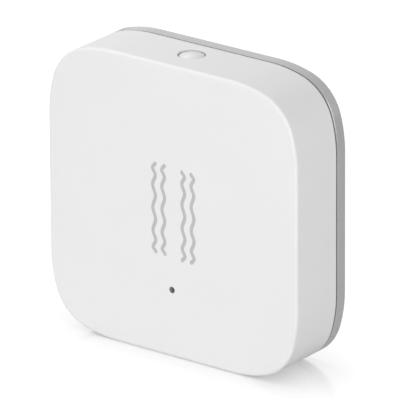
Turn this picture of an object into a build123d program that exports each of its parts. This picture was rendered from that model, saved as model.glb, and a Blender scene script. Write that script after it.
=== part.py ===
import os
from math import cos, radians, sin

from build123d import *

os.makedirs("parts", exist_ok=True)

# Outline of the body: a square that stands on one side, with corners of three arcs each
side_length = 47.2
flank_radius = 20.9
crown_radius = 8.25
flank_angle = 16.7

# Depths from the front face backwards: housing, shadow gap, cover, and the pad that stands proud
housing_depth = 10.1
seam_gap = 0.3
cover_depth = 2.3
pad_proud = 1.0

# Moulded walls and their edges
wall = 1.5
front_wall = 1.6
back_wall = 1.4
rib = 0.8
front_edge_radius = 0.5
back_edge_radius = 0.6
cavity_edge_radius = 0.8
rim_chamfer = 0.12

# Clearances, and how far a cut runs past what it cuts
seat_clearance = 0.3
fit_clearance = 0.15
running_clearance = 0.08
overrun = 2.0

# Indicator pinhole in the front face
pinhole_radius = 0.5
pinhole_drop = 12.65

# Button in the upper side
button_x = -0.5
button_radius = 2.0
button_gap = 0.16
button_crown = 0.25
button_edge_radius = 0.2
button_mouth_chamfer = 0.12
button_travel = 0.3
flange_radius = 2.6
flange_thickness = 0.6
stem_radius = 1.2
stem_length = 2.0
guide_drop = 2.2
guide_rib = 1.0

# Circuit board and what holds it
board_standoff = 2.1
board_thickness = 1.0
board_clearance = 0.6
boss_inset = 8.1
boss_radius = 2.2
boss_draft = 1.5
gusset_height = 1.9
pin_radius = 0.8
pin_proud = 0.6
pin_chamfer = 0.3
notch_corner_radius = 0.5

# Board screws
screw_radius = 1.0
pilot_radius = 0.85
screw_reach = 1.9
screw_head_radius = 1.8
screw_head_height = 1.3
screw_head_fillet = 0.5

# Side-push switch under the button
switch_width = 6.0
switch_length = 3.5
switch_height = 2.6
switch_chamfer = 0.25
plunger_width = 2.4
plunger_thickness = 1.2
plunger_proud = 0.9
plunger_seat = 1.0
plunger_fillet = 0.25
terminal_width = 0.6
terminal_thickness = 0.15
terminal_reach = 0.9
terminal_rise = 0.8
terminal_spacing = 2.2

# Light guide and indicator lamp
guide_radius = 1.1
nib_reach = 0.5
guide_boss_wall = 0.9
guide_boss_height = 1.3
guide_end_fillet = 0.4
lamp_width = 1.6
lamp_height = 0.8
lamp_base = 0.3
lamp_lens = 0.4
lamp_lens_share = 0.7
lamp_lens_taper = 10.0

# Coin cell
cell_radius = 10.0
cell_thickness = 3.2
cell_drop = 1.5
cell_edge_radius = 0.4
cell_cap_radius = 8.6
cell_cap_proud = 0.2
cell_cap_fillet = 0.15
crimp_width = 0.8
crimp_depth = 0.5

# Moulded holder around the cell
holder_clearance = 0.2
holder_wall = 1.4
holder_floor = 1.0
holder_height = 3.6
ledge_width = 1.0
finger_notch_width = 12.0
lip_reach = 0.6
lip_thickness = 0.5
lip_clearance = 0.05
lip_arc = 22
lip_angles = (55, 125)
peg_radius = 0.6
peg_length = 0.8
peg_angle = 45

# Spring contacts of the cell
strip_thickness = 0.2
strip_bend_radius = 0.35
positive_width = 4.4
positive_foot = 2.8
positive_rise = 3.3
positive_hook_drop = 0.8
positive_tail = 1.0
positive_tail_back = 0.5
negative_width = 4.0
negative_foot = 3.4
negative_ramp = 3.2
negative_land = 2.4
negative_tip = 0.9

# Chips and small parts on the board
radio_side = 6.0
radio_thickness = 0.9
radio_x = 6.6
radio_up = 13.0
motion_width = 3.0
motion_length = 3.3
motion_thickness = 1.0
motion_x = -8.4
motion_up = 11.6
chip_chamfer = 0.12
dimple_radius = 0.3
dimple_depth = 0.1
dimple_inset = 0.7
crystal_width = 3.2
crystal_length = 2.5
crystal_base = 0.4
crystal_lid = 0.4
crystal_lid_inset = 0.2
crystal_corner_radius = 0.3
crystal_x = -7.4
crystal_inset = 2.5
antenna_width = 2.0
antenna_length = 7.0
antenna_thickness = 1.2
antenna_edge_radius = 0.2
antenna_inset = 2.9
antenna_up = 5.0
reservoir_length = 7.3
reservoir_width = 4.3
reservoir_height = 2.9
reservoir_chamfer = 0.4
reservoir_inset = 3.9
reservoir_up = 5.6
reservoir_tab_width = 2.4
reservoir_tab_thickness = 0.3
reservoir_tab_height = 1.4
resistor_length = 1.6
resistor_width = 0.8
resistor_height = 0.45
capacitor_length = 1.6
capacitor_width = 0.9
capacitor_height = 0.8
resistor_place_shares = (
    (-0.33, 0.755), (-0.33, 0.70), (0.82, -0.05), (0.82, -0.13), (0.82, -0.21),
    (0.82, -0.29), (-0.62, -0.52), (-0.50, -0.62), (0.40, -0.80), (0.52, -0.74),
)
capacitor_place_shares = (
    (0.62, 0.84), (0.68, 0.50), (0.76, 0.52), (-0.64, -0.40), (-0.74, -0.36),
    (0.28, -0.84), (-0.36, -0.76),
)

# Snap clips on the cover, and the notch that it is pried off by
tongue_reach = 0.9
tongue_thickness = 1.0
lip_inset = 0.9
clip_width = 5.0
clip_spacing = 14.0
clip_length = 3.1
clip_setback = 0.2
bead_proud = 0.3
bead_height = 0.8
bead_tip = 0.5
groove_depth = 0.4
notch_width = 9.0
notch_height = 0.9
notch_reach = 1.2
notch_fillet = 0.4

# Foam pad that presses the cell, and the adhesive pad on the back
foam_radius = 6.0
foam_rib_height = 0.8
pad_side = 34.0
pad_corner_radius = 9.0
pad_recess = 0.2
pad_clearance = 0.25

# Places worked out from the sizes above
half_side = side_length / 2
body_depth = housing_depth + seam_gap + cover_depth
front_y = -(body_depth + pad_proud) / 2
cover_rim = housing_depth + seam_gap
cover_inside = body_depth - back_wall
tongue_inset = wall + fit_clearance
tongue_front = housing_depth - tongue_reach
board_front = front_wall + board_standoff
board_back = board_front + board_thickness
board_inset = wall + board_clearance
board_half = half_side - board_inset
button_depth = board_back + switch_height / 2
button_y = front_y + button_depth
ceiling = half_side - wall
flange_bottom = ceiling - flange_thickness
plunger_top = flange_bottom - stem_length
switch_top = plunger_top - plunger_proud
boss_place = half_side - boss_inset
cell_front = board_back + holder_floor - cell_cap_proud
cell_back = cell_front + cell_thickness
ring_inner = cell_radius + holder_clearance
ring_outer = ring_inner + holder_wall
ring_back = board_back + holder_height
lamp_front = board_front - lamp_base - lamp_lens
crystal_up = board_half - crystal_inset
antenna_x = board_half - antenna_inset
reservoir_x = reservoir_inset - board_half


# Plane across the body at a depth behind the front face, centred on it, with its normal to the front
def level(depth):
    return Plane(origin=(0, front_y + depth, half_side), x_dir=(1, 0, 0), z_dir=(0, -1, 0))


# Plane that holds an axis running from front to back: local x is across, local y is the depth
def section(x, up):
    return Plane(origin=(x, front_y, half_side + up), x_dir=(1, 0, 0), z_dir=(0, 0, 1))


# Axis of the coin cell, and the plane that holds it at an angle round the cell
cell_axis = Axis((0, front_y, half_side - cell_drop), (0, 1, 0))


def cell_section(angle):
    across, up = cos(radians(angle)), sin(radians(angle))
    return Plane(origin=cell_axis.position, x_dir=(across, 0, up), z_dir=(-up, 0, across))


# Face inside the body's outline, drawn in from the outer wall by an inset
def body_outline(inset):
    flank = radians(flank_angle)
    flank_centre = half_side - flank_radius
    crown = flank_centre + (flank_radius - crown_radius) * cos(flank)
    straight = crown - (flank_radius - crown_radius) * sin(flank)
    edge = half_side - inset
    with BuildSketch() as outline:
        with BuildLine():
            Line((edge, 0), (edge, straight))
            CenterArc((flank_centre, straight), flank_radius - inset, 0, flank_angle)
            CenterArc((crown, crown), crown_radius - inset, flank_angle, 90 - 2 * flank_angle)
            CenterArc((straight, flank_centre), flank_radius - inset, 90 - flank_angle, flank_angle)
            Line((straight, edge), (0, edge))
            mirror(about=Plane.YZ)
            mirror(about=Plane.XZ)
        make_face()
    return outline.sketch


# Label a finished piece and write it under its own name
def keep(piece, name):
    piece.part.label = name
    export_step(piece.part, f"parts/{name}.step")


# Front housing: the white shell, open at the back
screw_places = ((boss_place, boss_place), (-boss_place, -boss_place))
pin_places = ((-boss_place, boss_place), (boss_place, -boss_place))
guide_rib_x = flange_radius + seat_clearance + guide_rib / 2
with BuildPart() as front_housing:
    with BuildSketch(level(housing_depth)):
        add(body_outline(0))
    extrude(amount=housing_depth)
    fillet(front_housing.edges().group_by(Axis.Y)[0], front_edge_radius)
    with BuildSketch(level(housing_depth)):
        add(body_outline(wall))
    extrude(amount=housing_depth - front_wall, mode=Mode.SUBTRACT)
    cavity_floor = front_housing.faces().filter_by(Axis.Y).sort_by(Axis.Y)[1]
    fillet(cavity_floor.edges(), cavity_edge_radius)
    rim_face = front_housing.faces().filter_by(Axis.Y).sort_by(Axis.Y)[-1]
    chamfer(rim_face.outer_wire().edges(), rim_chamfer)
    # Button hole through the upper wall, its mouth eased
    with BuildSketch(Plane(origin=(button_x, button_y, side_length))):
        Circle(button_radius + button_gap)
    extrude(amount=-(wall + overrun), mode=Mode.SUBTRACT)
    mouth = front_housing.edges().filter_by(GeomType.CIRCLE).sort_by(Axis.Z)[-1]
    chamfer(mouth, button_mouth_chamfer)
    # Two ribs under the upper wall that guide the button's flange
    with BuildSketch(level(tongue_front - seat_clearance)):
        for side in (-1, 1):
            with Locations((button_x + side * guide_rib_x, ceiling - guide_drop / 2)):
                Rectangle(guide_rib, guide_drop)
    extrude(amount=tongue_front - seat_clearance - front_wall)
    # Bosses for the board, each tied to its corner by a gusset
    with BuildSketch(level(board_front)):
        with Locations(*screw_places, *pin_places):
            Circle(boss_radius)
    extrude(amount=board_standoff, taper=-boss_draft)
    gusset_length = ceiling - boss_place
    with BuildSketch(level(front_wall + gusset_height)):
        for across, up in screw_places + pin_places:
            side = across / boss_place
            rise = up / boss_place
            with Locations((across + side * gusset_length / 2, up)):
                Rectangle(gusset_length, rib)
            with Locations((across, up + rise * gusset_length / 2)):
                Rectangle(rib, gusset_length)
    extrude(amount=gusset_height)
    with BuildSketch(level(board_front)):
        with Locations(*screw_places):
            Circle(pilot_radius)
    extrude(amount=screw_reach + seat_clearance, mode=Mode.SUBTRACT)
    with BuildSketch(level(board_back + pin_proud - pin_chamfer)):
        with Locations(*pin_places):
            Circle(pin_radius)
    extrude(amount=pin_proud - pin_chamfer + board_thickness)
    with BuildSketch(level(board_back + pin_proud)):
        with Locations(*pin_places):
            Circle(pin_radius - pin_chamfer)
    extrude(amount=pin_chamfer, taper=-45)
    # Pinhole and the collar that holds the light guide behind it
    with BuildSketch(level(front_wall + guide_boss_height)):
        with Locations((0, -pinhole_drop)):
            Circle(guide_radius + running_clearance + guide_boss_wall)
            Circle(guide_radius + running_clearance, mode=Mode.SUBTRACT)
    extrude(amount=guide_boss_height)
    with BuildSketch(level(front_wall)):
        with Locations((0, -pinhole_drop)):
            Circle(pinhole_radius)
    extrude(amount=front_wall, mode=Mode.SUBTRACT)
    # Grooves that the cover's clips snap into
    with BuildSketch(level(tongue_front)):
        for side in (-1, 1):
            with Locations((side * ceiling, 0)):
                with GridLocations(0, clip_spacing, 1, 2):
                    Rectangle(2 * groove_depth, clip_width + 2 * seat_clearance)
    extrude(amount=clip_length - bead_tip + seat_clearance, mode=Mode.SUBTRACT)
keep(front_housing, "front_housing")

# Rear cover: the grey tray, with a tongue that enters the housing and four snap clips
with BuildPart() as rear_cover:
    with BuildSketch(level(body_depth)):
        add(body_outline(0))
    extrude(amount=cover_depth)
    fillet(rear_cover.edges().group_by(Axis.Y)[-1], back_edge_radius)
    front_rim = rear_cover.faces().filter_by(Axis.Y).sort_by(Axis.Y)[0]
    chamfer(front_rim.edges(), rim_chamfer)
    # Lip that meets the housing's rim and leaves the shadow gap outside it
    with BuildSketch(level(cover_rim)):
        add(body_outline(lip_inset))
    extrude(amount=seam_gap)
    with BuildSketch(level(cover_rim)):
        add(body_outline(tongue_inset))
    extrude(amount=cover_rim - tongue_front)
    with BuildSketch(level(cover_inside)):
        add(body_outline(tongue_inset + tongue_thickness))
    extrude(amount=cover_inside - tongue_front, mode=Mode.SUBTRACT)
    # Clips, each with a bead that points at its groove
    clip_front = tongue_front - clip_length + seat_clearance
    clip_outer = ceiling - fit_clearance - clip_setback
    clip_middle = clip_outer - tongue_thickness / 2
    bead_outer = clip_outer + bead_proud
    bead_back = clip_front + bead_height
    for side in (-1, 1):
        with BuildSketch(level(cover_inside)):
            with Locations((side * clip_middle, 0)):
                with GridLocations(0, clip_spacing, 1, 2):
                    Rectangle(tongue_thickness, clip_width)
        extrude(amount=cover_inside - clip_front)
        for up in (-clip_spacing / 2, clip_spacing / 2):
            with BuildSketch(section(0, up)):
                with BuildLine():
                    Polyline(
                        (side * clip_middle, clip_front),
                        (side * clip_outer, clip_front),
                        (side * bead_outer, clip_front + bead_tip),
                        (side * bead_outer, bead_back),
                        (side * clip_outer, bead_back + bead_proud),
                        (side * clip_middle, bead_back + bead_proud),
                        close=True,
                    )
                make_face()
            extrude(amount=clip_width / 2, both=True)
    # Low ribs inside, from a ring around the foam pad out to the tongue
    with BuildSketch(level(cover_inside)):
        rib_length = 2 * (ceiling - cell_drop - tongue_thickness)
        with Locations((0, -cell_drop)):
            Circle(foam_radius + seat_clearance + rib)
            Rectangle(rib_length, rib)
            Rectangle(rib, rib_length)
            Circle(foam_radius + seat_clearance, mode=Mode.SUBTRACT)
    extrude(amount=foam_rib_height)
    # Notch in the lower edge that a finger nail or a coin pries
    with BuildSketch(level(cover_rim + notch_height)):
        with Locations((0, -half_side)):
            RectangleRounded(notch_width, 2 * notch_reach, notch_fillet)
    extrude(amount=notch_height + seam_gap, mode=Mode.SUBTRACT)
    # Shallow seat for the adhesive pad
    with BuildSketch(level(body_depth)):
        RectangleRounded(
            pad_side + 2 * pad_clearance, pad_side + 2 * pad_clearance, pad_corner_radius + pad_clearance
        )
    extrude(amount=pad_recess, mode=Mode.SUBTRACT)
keep(rear_cover, "rear_cover")

# Adhesive pad: foam tape in its seat, proud of the cover
with BuildPart() as adhesive_pad:
    with BuildSketch(level(body_depth + pad_proud)):
        RectangleRounded(pad_side, pad_side, pad_corner_radius)
    extrude(amount=pad_proud + pad_recess)
keep(adhesive_pad, "adhesive_pad")

# Foam pad: glued in the cover's ring, just clear of the cell
with BuildPart() as foam_pad:
    with BuildSketch(level(cover_inside)):
        with Locations((0, -cell_drop)):
            Circle(foam_radius)
    extrude(amount=cover_inside - cell_back - seat_clearance)
keep(foam_pad, "foam_pad")

# Button: a crowned cap through the wall, a flange inside it and a stem down to the switch
cap_edge = half_side - button_crown
button_plane = Plane(origin=(button_x, button_y, half_side), x_dir=(1, 0, 0), z_dir=(0, -1, 0))
with BuildPart() as reset_button:
    with BuildSketch(button_plane) as button_profile:
        with BuildLine():
            Polyline(
                (0, half_side),
                (0, plunger_top),
                (stem_radius, plunger_top),
                (stem_radius, flange_bottom),
                (flange_radius, flange_bottom),
                (flange_radius, ceiling),
                (button_radius, ceiling),
                (button_radius, cap_edge),
            )
            TangentArc((0, half_side), (button_radius, cap_edge), tangent=(1, 0))
        make_face()
        cap_corner = button_profile.vertices().sort_by_distance((button_radius, cap_edge))[0]
        fillet(cap_corner, button_edge_radius)
    revolve(axis=Axis(button_plane.origin, (0, 0, 1)))
keep(reset_button, "reset_button")

# Circuit board: the body's outline with a notch under the button
notch_half_width = guide_rib_x + guide_rib / 2 + seat_clearance
with BuildPart() as circuit_board:
    with BuildSketch(level(board_back)) as board_face:
        add(body_outline(board_inset))
        notch_depth = board_half + overrun - switch_top
        with Locations((button_x, switch_top + notch_depth / 2)):
            Rectangle(2 * notch_half_width, notch_depth, mode=Mode.SUBTRACT)
        inner_corners = board_face.vertices().sort_by_distance((button_x, switch_top))[:2]
        fillet(inner_corners, notch_corner_radius)
        with Locations(*screw_places):
            Circle(screw_radius + running_clearance, mode=Mode.SUBTRACT)
        with Locations(*pin_places):
            Circle(pin_radius + running_clearance, mode=Mode.SUBTRACT)
        with Locations((0, -cell_drop)):
            with PolarLocations((ring_outer + ring_inner) / 2, 2, start_angle=peg_angle):
                Circle(peg_radius + running_clearance, mode=Mode.SUBTRACT)
    extrude(amount=board_thickness)
keep(circuit_board, "circuit_board")

# Board screws: pan heads on the board, shanks that cut into the bosses
with BuildPart() as board_screws:
    with BuildSketch(level(board_back + screw_head_height)):
        with Locations(*screw_places):
            Circle(screw_head_radius)
    extrude(amount=screw_head_height)
    fillet(board_screws.edges().group_by(Axis.Y)[-1], screw_head_fillet)
    with BuildSketch(level(board_back)):
        with Locations(*screw_places):
            Circle(screw_radius)
    extrude(amount=board_thickness + screw_reach)
keep(board_screws, "board_screws")

# Switch body: a moulded block on the board, with the slot that its plunger slides in
with BuildPart() as switch_body:
    with BuildSketch(level(board_back + switch_height)):
        with Locations((button_x, switch_top - switch_length / 2)):
            Rectangle(switch_width, switch_length)
    extrude(amount=switch_height)
    chamfer(switch_body.edges().group_by(Axis.Y)[-1], switch_chamfer)
    with BuildSketch(Plane(origin=(button_x, button_y, half_side + switch_top))):
        Rectangle(plunger_width + 2 * running_clearance, plunger_thickness + 2 * running_clearance)
    extrude(amount=-(plunger_seat + button_travel + running_clearance), mode=Mode.SUBTRACT)
keep(switch_body, "switch_body")

# Switch plunger: face to face with the button's stem, with room below it for the travel
with BuildPart() as switch_plunger:
    with BuildSketch(Plane(origin=(button_x, button_y, half_side + switch_top - plunger_seat))):
        Rectangle(plunger_width, plunger_thickness)
    extrude(amount=plunger_seat + plunger_proud)
    fillet(switch_plunger.edges().filter_by(Axis.Z), plunger_fillet)
keep(switch_plunger, "switch_plunger")

# Switch terminals: four bent legs, two on each side
with BuildPart() as switch_terminals:
    leg_up = switch_top - switch_length / 2
    leg_knee = (switch_width + terminal_reach) / 2
    leg_end = switch_width / 2 + terminal_reach
    leg_top = board_back + terminal_rise
    for side in (-1, 1):
        for up in (leg_up - terminal_spacing / 2, leg_up + terminal_spacing / 2):
            with BuildSketch(section(button_x, up)):
                with BuildLine():
                    Polyline(
                        (side * switch_width / 2, leg_top),
                        (side * leg_knee, leg_top),
                        (side * leg_knee, board_back + terminal_thickness),
                        (side * leg_end, board_back + terminal_thickness),
                        (side * leg_end, board_back),
                        (side * (leg_knee - terminal_thickness), board_back),
                        (side * (leg_knee - terminal_thickness), leg_top - terminal_thickness),
                        (side * switch_width / 2, leg_top - terminal_thickness),
                        close=True,
                    )
                make_face()
            extrude(amount=terminal_width / 2, both=True)
keep(switch_terminals, "switch_terminals")

# Light guide: a clear plug in its collar, with a nib that enters the pinhole
with BuildPart() as light_guide:
    with BuildSketch(level(lamp_front - seat_clearance)):
        with Locations((0, -pinhole_drop)):
            Circle(guide_radius)
    extrude(amount=lamp_front - seat_clearance - front_wall)
    fillet(light_guide.edges().group_by(Axis.Y)[-1], guide_end_fillet)
    with BuildSketch(level(front_wall)):
        with Locations((0, -pinhole_drop)):
            Circle(pinhole_radius - running_clearance)
    extrude(amount=nib_reach)
keep(light_guide, "light_guide")

# Indicator lamp: a small chip lamp with a moulded lens, facing the light guide
with BuildPart() as indicator_led:
    with BuildSketch(level(board_front)):
        with Locations((0, -pinhole_drop)):
            Rectangle(lamp_width, lamp_height)
    extrude(amount=lamp_base)
    with BuildSketch(level(board_front - lamp_base)):
        with Locations((0, -pinhole_drop)):
            Rectangle(lamp_width * lamp_lens_share, lamp_height)
    extrude(amount=lamp_lens, taper=lamp_lens_taper)
keep(indicator_led, "indicator_led")

# Holder: a ring with a ledge under the cell's rim, two lips over it and a notch for a finger
lip_front = cell_back + lip_clearance
lip_back = lip_front + lip_thickness
ledge_inner = cell_radius - ledge_width
ledge_back = board_back + holder_floor
with BuildPart() as battery_holder:
    with BuildSketch(section(0, -cell_drop)):
        with BuildLine():
            Polyline(
                (ledge_inner, board_back),
                (ring_outer, board_back),
                (ring_outer, ring_back),
                (ring_inner, ring_back),
                (ring_inner, ledge_back),
                (ledge_inner, ledge_back),
                close=True,
            )
        make_face()
    revolve(axis=cell_axis)
    with BuildSketch(level(ring_back)):
        with Locations((0, -cell_drop - ring_outer)):
            Rectangle(finger_notch_width, ring_outer)
        with Locations((-ring_outer, -cell_drop)):
            Rectangle(ring_outer, positive_width + 2 * seat_clearance)
    extrude(amount=holder_height - holder_floor, mode=Mode.SUBTRACT)
    for middle_angle in lip_angles:
        with BuildSketch(cell_section(middle_angle + lip_arc / 2)):
            with BuildLine():
                Polyline(
                    (ring_inner, ring_back),
                    (ring_outer, ring_back),
                    (ring_outer, lip_back),
                    (ring_inner - lip_reach, lip_back),
                    (ring_inner - lip_reach, lip_front),
                    (ring_inner, lip_front),
                    close=True,
                )
            make_face()
        revolve(axis=cell_axis, revolution_arc=lip_arc)
    with BuildSketch(level(board_back)):
        with Locations((0, -cell_drop)):
            with PolarLocations((ring_outer + ring_inner) / 2, 2, start_angle=peg_angle):
                Circle(peg_radius)
    extrude(amount=peg_length)
keep(battery_holder, "battery_holder")

# Positive contact: a strip from the board, over the holder's notch and against the cell's side
leg_x = ring_outer + seat_clearance + strip_thickness / 2
strip_middle = board_back + strip_thickness / 2
with BuildPart() as positive_contact:
    with BuildSketch(section(0, -cell_drop)):
        with BuildLine():
            FilletPolyline(
                (-leg_x - positive_foot, strip_middle),
                (-leg_x, strip_middle),
                (-leg_x, strip_middle + positive_rise),
                (-cell_radius - strip_thickness, strip_middle + positive_rise - positive_hook_drop),
                (
                    -cell_radius - strip_thickness - positive_tail_back,
                    strip_middle + positive_rise - positive_hook_drop - positive_tail,
                ),
                radius=strip_bend_radius,
            )
        trace(line_width=strip_thickness)
    extrude(amount=positive_width / 2, both=True)
keep(positive_contact, "positive_contact")

# Negative contact: a leaf on the board that rises to the cell's cap
leaf_top = cell_front - strip_thickness / 2
with BuildPart() as negative_contact:
    with BuildSketch(section(0, -cell_drop)):
        with BuildLine():
            FilletPolyline(
                (-negative_land - negative_foot, strip_middle),
                (-negative_land, strip_middle),
                (negative_ramp - negative_land, leaf_top),
                (negative_ramp, leaf_top),
                (negative_ramp + negative_tip, strip_middle + strip_thickness),
                radius=strip_bend_radius,
            )
        trace(line_width=strip_thickness)
    extrude(amount=negative_width / 2, both=True)
keep(negative_contact, "negative_contact")

# Coin cell: the can with its crimped rim, the cap in front of it and the seal between them
crimp_front = cell_front + cell_cap_proud
crimp_back = crimp_front + crimp_depth
with BuildPart() as cell_can:
    with BuildSketch(section(0, -cell_drop)):
        with BuildLine():
            Polyline(
                (0, crimp_back),
                (cell_radius - crimp_width, crimp_back),
                (cell_radius - crimp_width, crimp_front),
                (cell_radius, crimp_front),
                (cell_radius, cell_back),
                (0, cell_back),
                close=True,
            )
        make_face()
    revolve(axis=cell_axis)
    fillet(cell_can.edges().group_by(Axis.Y)[-1], cell_edge_radius)
keep(cell_can, "cell_can")

with BuildPart() as cell_cap:
    with BuildSketch(level(crimp_back)):
        with Locations((0, -cell_drop)):
            Circle(cell_cap_radius)
    extrude(amount=crimp_back - cell_front)
    fillet(cell_cap.edges().group_by(Axis.Y)[0], cell_cap_fillet)
keep(cell_cap, "cell_cap")

with BuildPart() as cell_gasket:
    with BuildSketch(level(crimp_back)):
        with Locations((0, -cell_drop)):
            Circle(cell_radius - crimp_width)
            Circle(cell_cap_radius, mode=Mode.SUBTRACT)
    extrude(amount=crimp_depth)
keep(cell_gasket, "cell_gasket")

# Radio chip: a flat square package with its pin-one dimple
with BuildPart() as radio_chip:
    with BuildSketch(level(board_back + radio_thickness)):
        with Locations((radio_x, radio_up)):
            Rectangle(radio_side, radio_side)
    extrude(amount=radio_thickness)
    chamfer(radio_chip.edges().group_by(Axis.Y)[-1], chip_chamfer)
    with BuildSketch(level(board_back + radio_thickness)):
        corner = radio_side / 2 - dimple_inset
        with Locations((radio_x - corner, radio_up + corner)):
            Circle(dimple_radius)
    extrude(amount=dimple_depth, mode=Mode.SUBTRACT)
keep(radio_chip, "radio_chip")

# Motion chip: the sensor that feels the vibration
with BuildPart() as motion_chip:
    with BuildSketch(level(board_back + motion_thickness)):
        with Locations((motion_x, motion_up)):
            Rectangle(motion_width, motion_length)
    extrude(amount=motion_thickness)
    chamfer(motion_chip.edges().group_by(Axis.Y)[-1], chip_chamfer)
    with BuildSketch(level(board_back + motion_thickness)):
        across = motion_width / 2 - dimple_inset
        up = motion_length / 2 - dimple_inset
        with Locations((motion_x - across, motion_up + up)):
            Circle(dimple_radius)
    extrude(amount=dimple_depth, mode=Mode.SUBTRACT)
keep(motion_chip, "motion_chip")

# Crystal: a ceramic base with a metal lid
with BuildPart() as crystal:
    with BuildSketch(level(board_back + crystal_base)):
        with Locations((crystal_x, crystal_up)):
            Rectangle(crystal_width, crystal_length)
    extrude(amount=crystal_base)
    with BuildSketch(level(board_back + crystal_base + crystal_lid)):
        with Locations((crystal_x, crystal_up)):
            RectangleRounded(
                crystal_width - 2 * crystal_lid_inset,
                crystal_length - 2 * crystal_lid_inset,
                crystal_corner_radius,
            )
    extrude(amount=crystal_lid)
keep(crystal, "crystal")

# Chip antenna: a ceramic block at the board's edge
with BuildPart() as chip_antenna:
    with BuildSketch(level(board_back + antenna_thickness)):
        with Locations((antenna_x, antenna_up)):
            Rectangle(antenna_width, antenna_length)
    extrude(amount=antenna_thickness)
    fillet(chip_antenna.edges().group_by(Axis.Y)[-1], antenna_edge_radius)
keep(chip_antenna, "chip_antenna")

# Reservoir capacitor: a moulded block with a folded tab at each end
with BuildPart() as reservoir_capacitor:
    with BuildSketch(level(board_back + reservoir_height)):
        with Locations((reservoir_x, reservoir_up)):
            Rectangle(reservoir_width, reservoir_length)
    extrude(amount=reservoir_height)
    chamfer(reservoir_capacitor.edges().group_by(Axis.Y)[-1], reservoir_chamfer)
    with BuildSketch(level(board_back + reservoir_tab_height)):
        with Locations((reservoir_x, reservoir_up)):
            with GridLocations(0, reservoir_length + reservoir_tab_thickness, 1, 2):
                Rectangle(reservoir_tab_width, reservoir_tab_thickness)
    extrude(amount=reservoir_tab_height)
keep(reservoir_capacitor, "reservoir_capacitor")

# Resistors and capacitors: small blocks soldered where the board has room
resistor_places = [(across * board_half, up * board_half) for across, up in resistor_place_shares]
with BuildPart() as resistors:
    with BuildSketch(level(board_back + resistor_height)):
        with Locations(*resistor_places):
            Rectangle(resistor_length, resistor_width)
    extrude(amount=resistor_height)
keep(resistors, "resistors")

capacitor_places = [(across * board_half, up * board_half) for across, up in capacitor_place_shares]
with BuildPart() as capacitors:
    with BuildSketch(level(board_back + capacitor_height)):
        with Locations(*capacitor_places):
            Rectangle(capacitor_width, capacitor_length)
    extrude(amount=capacitor_height)
keep(capacitors, "capacitors")
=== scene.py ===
from collections import namedtuple
from math import cos, pi, radians, sin

import bmesh
import bpy
from mathutils import Matrix, Vector


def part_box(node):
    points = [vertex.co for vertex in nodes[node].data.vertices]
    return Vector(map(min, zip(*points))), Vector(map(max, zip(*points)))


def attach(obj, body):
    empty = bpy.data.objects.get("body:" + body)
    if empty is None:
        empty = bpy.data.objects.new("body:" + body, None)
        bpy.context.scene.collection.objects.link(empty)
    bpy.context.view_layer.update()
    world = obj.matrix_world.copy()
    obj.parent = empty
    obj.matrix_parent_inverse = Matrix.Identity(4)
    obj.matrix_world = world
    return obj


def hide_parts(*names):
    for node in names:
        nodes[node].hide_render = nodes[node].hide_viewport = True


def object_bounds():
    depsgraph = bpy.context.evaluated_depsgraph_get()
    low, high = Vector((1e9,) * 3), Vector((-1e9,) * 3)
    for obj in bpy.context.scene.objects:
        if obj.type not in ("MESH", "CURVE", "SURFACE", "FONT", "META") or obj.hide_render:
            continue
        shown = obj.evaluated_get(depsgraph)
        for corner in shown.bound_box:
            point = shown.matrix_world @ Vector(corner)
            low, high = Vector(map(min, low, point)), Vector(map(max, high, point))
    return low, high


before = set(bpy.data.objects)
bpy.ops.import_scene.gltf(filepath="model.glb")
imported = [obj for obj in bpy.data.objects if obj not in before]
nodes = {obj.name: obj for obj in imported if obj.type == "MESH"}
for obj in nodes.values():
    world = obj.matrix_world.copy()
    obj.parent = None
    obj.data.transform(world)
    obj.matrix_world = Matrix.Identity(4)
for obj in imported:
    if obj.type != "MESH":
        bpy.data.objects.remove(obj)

cad_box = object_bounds()
mm = 0.001

Box = namedtuple("Box", "low high middle half")
Lamp = namedtuple("Lamp", "azimuth elevation distance strength")

# Camera: a long lens, turned to the right of the front face and above it
lens_pixels = 7341.5
image_pixels = 400
sensor_width = 36.0
camera_distance = 1117.0 * mm
camera_azimuth = 37.337
camera_elevation = 20.720
aim_azimuth = 37.310
aim_elevation = 20.7175
camera_roll = -0.35

# Lights: turned to the right and raised in degrees, as strong as they count at the object
lamps = {
    "right_lamp": Lamp(azimuth=45, elevation=10, distance=500 * mm, strength=5.9),
    "left_lamp": Lamp(azimuth=-25, elevation=8, distance=500 * mm, strength=2.4),
    "high_lamp": Lamp(azimuth=-100, elevation=55, distance=200 * mm, strength=3.9),
}
lamp_spread = 0.72
sky_strength = 0.40

# Floor: what lights the object, and what the camera sees, with a painted shade at the object
floor_reach = 3000 * mm
floor_colour = (0.80, 0.80, 0.80, 1)
floor_seen_colour = (0.22, 0.22, 0.22, 1)
floor_glow = 0.90
floor_shade_reach = 9 * mm
floor_shade = 0.30
floor_contact_reach = 0.6 * mm
floor_contact_shade = 0.10
floor_gloss_reach = 20 * mm
floor_gloss = 0.35
floor_gloss_roughness = 0.14

# Wave marks printed on the front face: two pairs, the right one a mirror of the left. Along a stroke
# an angle goes from minus to plus the reach. The stroke rises as its sine, up to the height, and
# swings as the cosine of the angle times the turns.
mark_height = 7.4 * mm
mark_reach = 5 * pi / 12
mark_turns = 12
mark_swing = 0.25 * mm
mark_stroke = 0.61 * mm
mark_print = 0.02 * mm
mark_pair_gap = 1.74 * mm
left_pair_place = (-3.29 * mm, 0.08 * mm)
right_pair_place = (2.28 * mm, -0.22 * mm)

# Recesses of the case that get painted shade: radii, and depths behind the front face
button_gap_inner = 2.06 * mm
button_gap_radius = 2.21 * mm
button_gap_shade_share = 0.35
pinhole_radius = 0.53 * mm
cover_lip_depth = 10.08 * mm
cover_rim_depth = 10.43 * mm

# Crown that the button's shading follows
button_crown_radius = 6.0 * mm

# Slit in the adhesive pad's liner
slit_width = 0.16 * mm
slit_swing = 1.6 * mm
slit_wave = 17 * mm

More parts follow.
